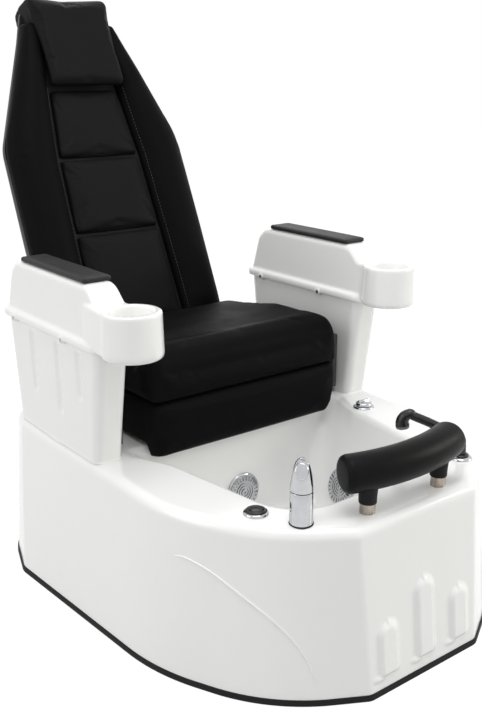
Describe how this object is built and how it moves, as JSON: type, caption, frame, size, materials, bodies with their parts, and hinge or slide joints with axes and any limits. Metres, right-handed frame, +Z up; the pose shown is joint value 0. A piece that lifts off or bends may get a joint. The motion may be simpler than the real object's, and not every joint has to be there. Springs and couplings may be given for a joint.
{
  "type": "pedicure spa chair",
  "caption": "Pedicure spa chair with a moulded foot basin, reclining padded seat and back, cup-holder arms, padded footrest, mixer tap and hand spray.",
  "frame": {"origin": "on the floor, at the middle of the overall width and length", "axes": "+X to the right as seen by someone standing in front of the chair, +Y from the front to the back, +Z up; the chair faces -Y"},
  "size_m": [0.9382, 1.4724, 1.3437],
  "materials": {
    "shell": "glossy white gel coat",
    "upholstery": "satin black coated upholstery fabric",
    "arm_pad": "satin charcoal coated upholstery fabric",
    "rubber": "matt black rubber",
    "back_shell": "textured black moulding",
    "board": "plywood",
    "frame_paint": "dark grey powder coat",
    "brushed": "brushed stainless steel",
    "chrome": "polished chrome plate",
    "black_plastic": "glossy black plastic",
    "grey_plastic": "soft grey plastic"
  },
  "bodies": {
    "base": {"base_shell": "shell", "foot_basin": "shell", "kick_strip": "rubber", "base_frame": "frame_paint", "levelling_feet": "rubber", "access_panel": "shell", "seat_pedestal": "frame_paint", "slide_rails": "brushed", "side_brackets": "frame_paint", "arm_panel_left": "shell", "arm_panel_right": "shell", "arm_cap_left": "shell", "arm_cap_right": "shell", "arm_pad_left": "arm_pad", "arm_pad_right": "arm_pad", "arm_cap_screws": "brushed", "footrest_sockets": "brushed", "mixer_gasket": "rubber", "mixer_body": "chrome", "spray_ring": "chrome", "spray_collar": "black_plastic", "button_bezel": "chrome", "knob_escutcheon": "chrome", "drain_flange": "chrome", "jet_rear": "chrome", "jet_left": "chrome", "jet_right": "chrome", "jet_pump": "black_plastic", "pipework": "shell", "control_box": "black_plastic"},
    "seat": {"slide_carriage": "frame_paint", "seat_pan": "board", "seat_cushion": "upholstery", "seat_apron": "upholstery", "recline_brackets": "frame_paint", "recline_actuator": "black_plastic", "hinge_pins": "brushed"},
    "back": {"back_board": "board", "back_shell": "back_shell", "recline_arms": "frame_paint", "bolster_left": "upholstery", "bolster_right": "upholstery", "back_panel_upper": "upholstery", "back_panel_middle": "upholstery", "back_panel_lower": "upholstery", "head_pillow": "upholstery"},
    "actuator_rod": {"actuator_rod": "brushed"},
    "footrest": {"footrest_core": "brushed", "footrest_pad": "upholstery", "footrest_sleeves": "rubber"},
    "mixer_cap": {"mixer_cap": "chrome"},
    "mixer_lever": {"mixer_lever": "chrome"},
    "hand_spray": {"hand_spray": "black_plastic", "spray_nozzle": "grey_plastic"},
    "air_button": {"air_button": "black_plastic"},
    "drain_knob": {"drain_knob": "chrome"},
    "drain_plug": {"drain_plug": "chrome"}
  },
  "joints": [
    {"name": "seat_slide", "type": "slide", "parent": "base", "child": "seat", "axis": [0, -1, 0], "range_m": [0, 0.1]},
    {"name": "back_recline", "type": "hinge", "parent": "seat", "child": "back", "pos_m": [0, 0.31167, 0.45], "axis": [-1, 0, 0], "range_deg": [0, 20]},
    {"name": "actuator_slide", "type": "slide", "parent": "seat", "child": "actuator_rod", "axis": [0, -1, 0], "range_m": [0, 0.0245]},
    {"name": "footrest_lift", "type": "slide", "parent": "base", "child": "footrest", "axis": [0, 0, 1], "range_m": [0, 0.04]},
    {"name": "mixer_turn", "type": "hinge", "parent": "base", "child": "mixer_cap", "pos_m": [-0.229, -0.60733, 0.4], "axis": [0, 0, 1], "range_deg": [-45, 45]},
    {"name": "mixer_lift", "type": "hinge", "parent": "mixer_cap", "child": "mixer_lever", "pos_m": [-0.2323, -0.61062, 0.47042], "axis": [-0.7071, 0.7071, 0], "range_deg": [0, 15]},
    {"name": "spray_pull", "type": "slide", "parent": "base", "child": "hand_spray", "axis": [0, 0, 1], "range_m": [0, 0.1]},
    {"name": "button_press", "type": "slide", "parent": "base", "child": "air_button", "axis": [0, 0, -1], "range_m": [0, 0.003], "stiffness_N_per_m": 500, "springref_m": -0.002},
    {"name": "knob_turn", "type": "hinge", "parent": "base", "child": "drain_knob", "pos_m": [0.304, -0.23333, 0.355], "axis": [0, 0, 1], "range_deg": [0, 120]},
    {"name": "plug_lift", "type": "slide", "parent": "base", "child": "drain_plug", "axis": [0, 0, 1], "range_m": [0, 0.012]}
  ],
  "couplings": [
    {"joint": "actuator_slide", "follows": "back_recline", "m_per_rad": 0.06965},
    {"joint": "knob_turn", "follows": "plug_lift", "rad_per_m": 174.5}
  ]
}
